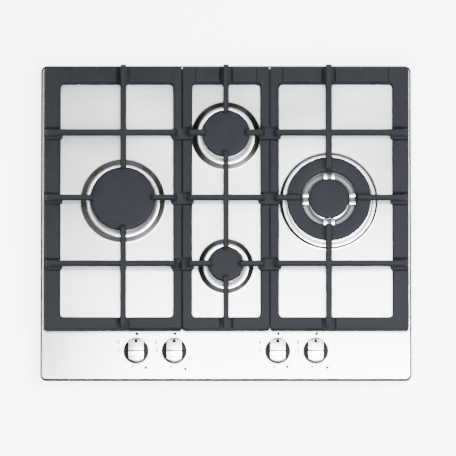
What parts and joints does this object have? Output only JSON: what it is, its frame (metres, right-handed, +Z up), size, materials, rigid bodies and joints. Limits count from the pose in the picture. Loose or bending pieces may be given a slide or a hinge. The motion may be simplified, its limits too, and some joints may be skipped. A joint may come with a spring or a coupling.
{
  "type": "gas cooktop",
  "caption": "Built-in gas cooktop: brushed stainless plate, lift-off cast iron pan supports over capped burners and a double-ring wok burner, push-and-turn knobs at the front.",
  "frame": {"origin": "under the middle of the plate, on the plane of the tray floor that the loose cooktop stands on", "axes": "+X to the right of the user, +Y to the back, +Z up through the burners"},
  "size_m": [0.59, 0.51, 0.0939],
  "materials": {
    "stainless_plate": "stainless sheet brushed from left to right, satin",
    "zinc_steel": "zinc-coated mild steel, dull",
    "foam": "black closed-cell sealing foam",
    "aluminium": "die-cast aluminium, fine blasted",
    "aluminium_tube": "drawn aluminium tube, satin",
    "enamel_cap": "pressed iron with matt dark grey enamel",
    "enamel_iron": "cast iron with matt dark grey enamel",
    "ceramic": "glazed white ceramic with a steel pin",
    "rubber": "black silicone rubber",
    "knob_metal": "satin metal plating over a zinc casting",
    "brass": "machined brass",
    "plastic": "light grey heat-resistant moulding"
  },
  "bodies": {
    "hob": {"top_plate": "stainless_plate", "base_tray": "zinc_steel", "worktop_seal": "foam", "left_burner_cup": "aluminium", "rear_burner_cup": "aluminium", "front_burner_cup": "aluminium", "right_burner_cup": "aluminium", "left_igniter": "ceramic", "rear_igniter": "ceramic", "front_igniter": "ceramic", "right_igniter": "ceramic", "tap_body_1": "brass", "tap_body_2": "brass", "tap_body_3": "brass", "tap_body_4": "brass", "gas_rail": "aluminium_tube", "gas_inlet": "brass", "left_burner_pipe": "aluminium_tube", "rear_burner_pipe": "aluminium_tube", "front_burner_pipe": "aluminium_tube", "right_burner_pipe": "aluminium_tube", "igniter_generator": "plastic", "terminal_box": "plastic"},
    "tap_1": {"tap_plug_1": "brass"},
    "control_1": {"knob_1": "knob_metal", "spindle_1": "zinc_steel"},
    "tap_2": {"tap_plug_2": "brass"},
    "control_2": {"knob_2": "knob_metal", "spindle_2": "zinc_steel"},
    "tap_3": {"tap_plug_3": "brass"},
    "control_3": {"knob_3": "knob_metal", "spindle_3": "zinc_steel"},
    "tap_4": {"tap_plug_4": "brass"},
    "control_4": {"knob_4": "knob_metal", "spindle_4": "zinc_steel"},
    "left_support": {"left_pan_support": "enamel_iron", "left_support_foot_1": "rubber", "left_support_foot_2": "rubber", "left_support_foot_3": "rubber", "left_support_foot_4": "rubber"},
    "centre_support": {"centre_pan_support": "enamel_iron", "centre_support_foot_1": "rubber", "centre_support_foot_2": "rubber", "centre_support_foot_3": "rubber", "centre_support_foot_4": "rubber"},
    "right_support": {"right_pan_support": "enamel_iron", "right_support_foot_1": "rubber", "right_support_foot_2": "rubber", "right_support_foot_3": "rubber", "right_support_foot_4": "rubber"},
    "left_crown": {"left_burner_crown": "aluminium"},
    "left_cap": {"left_burner_cap": "enamel_cap"},
    "rear_crown": {"rear_burner_crown": "aluminium"},
    "rear_cap": {"rear_burner_cap": "enamel_cap"},
    "front_crown": {"front_burner_crown": "aluminium"},
    "front_cap": {"front_burner_cap": "enamel_cap"},
    "right_crown": {"right_burner_crown": "aluminium"},
    "right_ring_cap": {"right_burner_ring_cap": "enamel_cap"},
    "right_centre_cap": {"right_burner_centre_cap": "enamel_cap"}
  },
  "joints": [
    {"name": "knob_1_turn", "type": "hinge", "parent": "hob", "child": "tap_1", "pos_m": [-0.14275, -0.207, 0.023], "axis": [0, 0, 1], "range_deg": [0, 210]},
    {"name": "knob_1_push", "type": "slide", "parent": "tap_1", "child": "control_1", "axis": [0, 0, -1], "range_m": [0, 0.003], "stiffness_N_per_m": 3000, "springref_m": -0.001},
    {"name": "knob_2_turn", "type": "hinge", "parent": "hob", "child": "tap_2", "pos_m": [-0.08225, -0.207, 0.023], "axis": [0, 0, 1], "range_deg": [0, 210]},
    {"name": "knob_2_push", "type": "slide", "parent": "tap_2", "child": "control_2", "axis": [0, 0, -1], "range_m": [0, 0.003], "stiffness_N_per_m": 3000, "springref_m": -0.001},
    {"name": "knob_3_turn", "type": "hinge", "parent": "hob", "child": "tap_3", "pos_m": [0.08225, -0.207, 0.023], "axis": [0, 0, 1], "range_deg": [0, 210]},
    {"name": "knob_3_push", "type": "slide", "parent": "tap_3", "child": "control_3", "axis": [0, 0, -1], "range_m": [0, 0.003], "stiffness_N_per_m": 3000, "springref_m": -0.001},
    {"name": "knob_4_turn", "type": "hinge", "parent": "hob", "child": "tap_4", "pos_m": [0.14275, -0.207, 0.023], "axis": [0, 0, 1], "range_deg": [0, 210]},
    {"name": "knob_4_push", "type": "slide", "parent": "tap_4", "child": "control_4", "axis": [0, 0, -1], "range_m": [0, 0.003], "stiffness_N_per_m": 3000, "springref_m": -0.001},
    {"name": "left_support_lift", "type": "slide", "parent": "hob", "child": "left_support", "axis": [0, 0, 1], "range_m": [0, 0.09]},
    {"name": "centre_support_lift", "type": "slide", "parent": "hob", "child": "centre_support", "axis": [0, 0, 1], "range_m": [0, 0.09]},
    {"name": "right_support_lift", "type": "slide", "parent": "hob", "child": "right_support", "axis": [0, 0, 1], "range_m": [0, 0.09]},
    {"name": "left_crown_lift", "type": "slide", "parent": "hob", "child": "left_crown", "axis": [0, 0, 1], "range_m": [0, 0.027]},
    {"name": "left_cap_lift", "type": "slide", "parent": "left_crown", "child": "left_cap", "axis": [0, 0, 1], "range_m": [0, 0.027]},
    {"name": "rear_crown_lift", "type": "slide", "parent": "hob", "child": "rear_crown", "axis": [0, 0, 1], "range_m": [0, 0.027]},
    {"name": "rear_cap_lift", "type": "slide", "parent": "rear_crown", "child": "rear_cap", "axis": [0, 0, 1], "range_m": [0, 0.027]},
    {"name": "front_crown_lift", "type": "slide", "parent": "hob", "child": "front_crown", "axis": [0, 0, 1], "range_m": [0, 0.027]},
    {"name": "front_cap_lift", "type": "slide", "parent": "front_crown", "child": "front_cap", "axis": [0, 0, 1], "range_m": [0, 0.027]},
    {"name": "right_crown_lift", "type": "slide", "parent": "hob", "child": "right_crown", "axis": [0, 0, 1], "range_m": [0, 0.027]},
    {"name": "right_ring_cap_lift", "type": "slide", "parent": "right_crown", "child": "right_ring_cap", "axis": [0, 0, 1], "range_m": [0, 0.027]},
    {"name": "right_centre_cap_lift", "type": "slide", "parent": "right_crown", "child": "right_centre_cap", "axis": [0, 0, 1], "range_m": [0, 0.027]}
  ],
  "couplings": [
    {"joint": "left_crown_lift", "follows": "left_support_lift", "ratio": 0.3},
    {"joint": "left_cap_lift", "follows": "left_support_lift", "ratio": 0.3},
    {"joint": "rear_crown_lift", "follows": "centre_support_lift", "ratio": 0.3},
    {"joint": "rear_cap_lift", "follows": "centre_support_lift", "ratio": 0.3},
    {"joint": "front_crown_lift", "follows": "centre_support_lift", "ratio": 0.3},
    {"joint": "front_cap_lift", "follows": "centre_support_lift", "ratio": 0.3},
    {"joint": "right_crown_lift", "follows": "right_support_lift", "ratio": 0.3},
    {"joint": "right_ring_cap_lift", "follows": "right_support_lift", "ratio": 0.3},
    {"joint": "right_centre_cap_lift", "follows": "right_support_lift", "ratio": 0.3}
  ]
}
